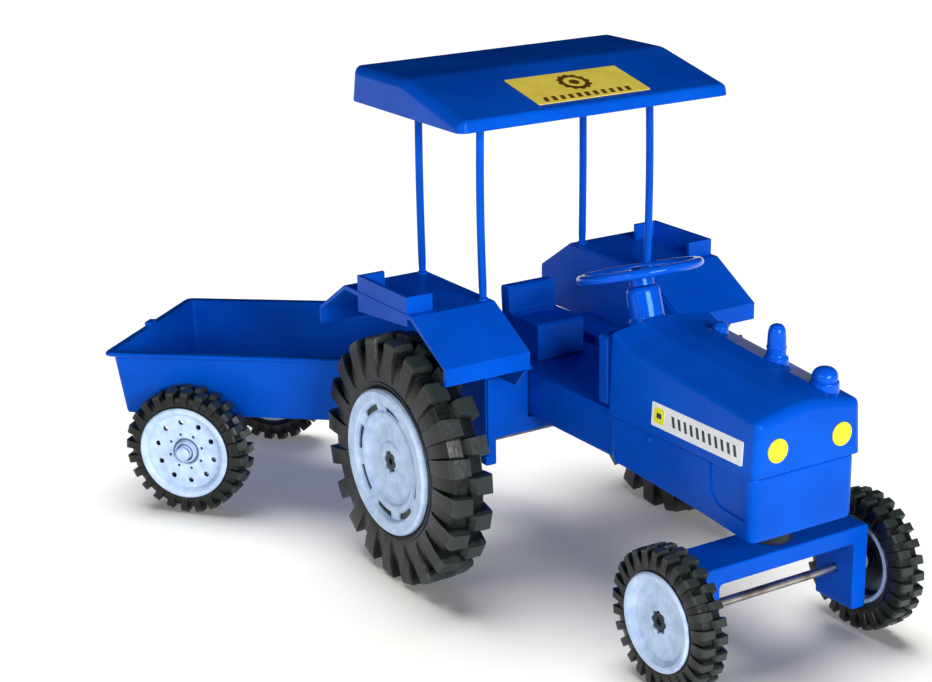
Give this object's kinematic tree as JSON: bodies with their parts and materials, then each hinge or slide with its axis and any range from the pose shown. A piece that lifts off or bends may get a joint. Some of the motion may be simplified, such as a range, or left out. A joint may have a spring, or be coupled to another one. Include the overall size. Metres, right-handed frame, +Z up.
{
  "type": "toy tractor with trailer",
  "caption": "Plastic toy farm tractor with a four-post canopy, lugged wheels, turning front axle and a hitched open two-wheel trailer.",
  "frame": {"origin": "middle of the toy's overall box, on the ground", "axes": "+Z up; the tractor faces -Y; +X is the tractor's left"},
  "size_m": [0.2548, 0.4324, 0.237],
  "materials": {
    "blue_plastic": "glossy moulded blue plastic",
    "hub_plastic": "pale blue-white moulded plastic",
    "tyre_rubber": "black soft plastic with lugs",
    "steel": "plain steel rod",
    "yellow_label": "printed yellow sticker",
    "white_label": "printed white sticker",
    "dark_plastic": "dark plastic"
  },
  "bodies": {
    "tractor": {"lower_body": "blue_plastic", "bonnet": "blue_plastic", "exhaust_pipe": "blue_plastic", "precleaner_cap": "blue_plastic", "fuel_cap": "blue_plastic", "headlight_right": "yellow_label", "headlight_left": "yellow_label", "side_label_right": "white_label", "side_label_left": "white_label", "dash_panel": "blue_plastic", "steering_column": "blue_plastic", "seat": "blue_plastic", "fender_right": "blue_plastic", "fender_left": "blue_plastic", "post_front_right": "blue_plastic", "post_front_left": "blue_plastic", "post_rear_right": "blue_plastic", "post_rear_left": "blue_plastic", "canopy": "blue_plastic", "canopy_label": "yellow_label", "rear_axle_bracket": "blue_plastic", "rear_axle_rod": "steel", "kingpin_boss": "dark_plastic", "hitch_bracket": "blue_plastic", "hitch_pin": "steel"},
    "steering": {"steering_wheel": "blue_plastic"},
    "front_axle": {"front_axle_bracket": "blue_plastic", "front_axle_rod": "steel"},
    "front_wheel_right": {"front_tyre_right": "tyre_rubber", "front_rim_right": "hub_plastic"},
    "front_wheel_left": {"front_tyre_left": "tyre_rubber", "front_rim_left": "hub_plastic"},
    "rear_wheel_right": {"rear_tyre_right": "tyre_rubber", "rear_rim_right": "hub_plastic"},
    "rear_wheel_left": {"rear_tyre_left": "tyre_rubber", "rear_rim_left": "hub_plastic"},
    "trailer": {"trailer_tub": "blue_plastic", "trailer_drawbar": "blue_plastic", "trailer_axle_leg_right": "blue_plastic", "trailer_axle_leg_left": "blue_plastic", "trailer_axle_rod": "steel", "trailer_hub_cap_right": "dark_plastic", "trailer_hub_cap_left": "dark_plastic"},
    "trailer_wheel_right": {"trailer_tyre_right": "tyre_rubber", "trailer_rim_right": "hub_plastic"},
    "trailer_wheel_left": {"trailer_tyre_left": "tyre_rubber", "trailer_rim_left": "hub_plastic"}
  },
  "joints": [
    {"name": "steering_wheel_turn", "type": "hinge", "parent": "tractor", "child": "steering", "pos_m": [0.03788, -0.09568, 0.1288], "axis": [0, 0.2756, 0.9613], "continuous": true},
    {"name": "front_axle_swivel", "type": "hinge", "parent": "tractor", "child": "front_axle", "pos_m": [0.03788, -0.18418, 0.0553], "axis": [0, 0, 1], "range_deg": [-20, 20]},
    {"name": "front_wheel_right_spin", "type": "hinge", "parent": "front_axle", "child": "front_wheel_right", "pos_m": [-0.01712, -0.18418, 0.032], "axis": [1, 0, 0], "continuous": true},
    {"name": "front_wheel_left_spin", "type": "hinge", "parent": "front_axle", "child": "front_wheel_left", "pos_m": [0.09288, -0.18418, 0.032], "axis": [1, 0, 0], "continuous": true},
    {"name": "rear_wheel_right_spin", "type": "hinge", "parent": "tractor", "child": "rear_wheel_right", "pos_m": [-0.04872, -0.02318, 0.06], "axis": [1, 0, 0], "continuous": true},
    {"name": "rear_wheel_left_spin", "type": "hinge", "parent": "tractor", "child": "rear_wheel_left", "pos_m": [0.10848, -0.02318, 0.06], "axis": [1, 0, 0], "continuous": true},
    {"name": "trailer_turn", "type": "hinge", "parent": "tractor", "child": "trailer", "pos_m": [0.03788, 0.03282, 0.05], "axis": [0, 0, 1], "range_deg": [-73, 8]},
    {"name": "trailer_wheel_right_spin", "type": "hinge", "parent": "trailer", "child": "trailer_wheel_right", "pos_m": [-0.10041, 0.11206, 0.0332], "axis": [0.766, 0.6428, 0], "continuous": true},
    {"name": "trailer_wheel_left_spin", "type": "hinge", "parent": "trailer", "child": "trailer_wheel_left", "pos_m": [-0.01614, 0.18277, 0.0332], "axis": [0.766, 0.6428, 0], "continuous": true}
  ]
}
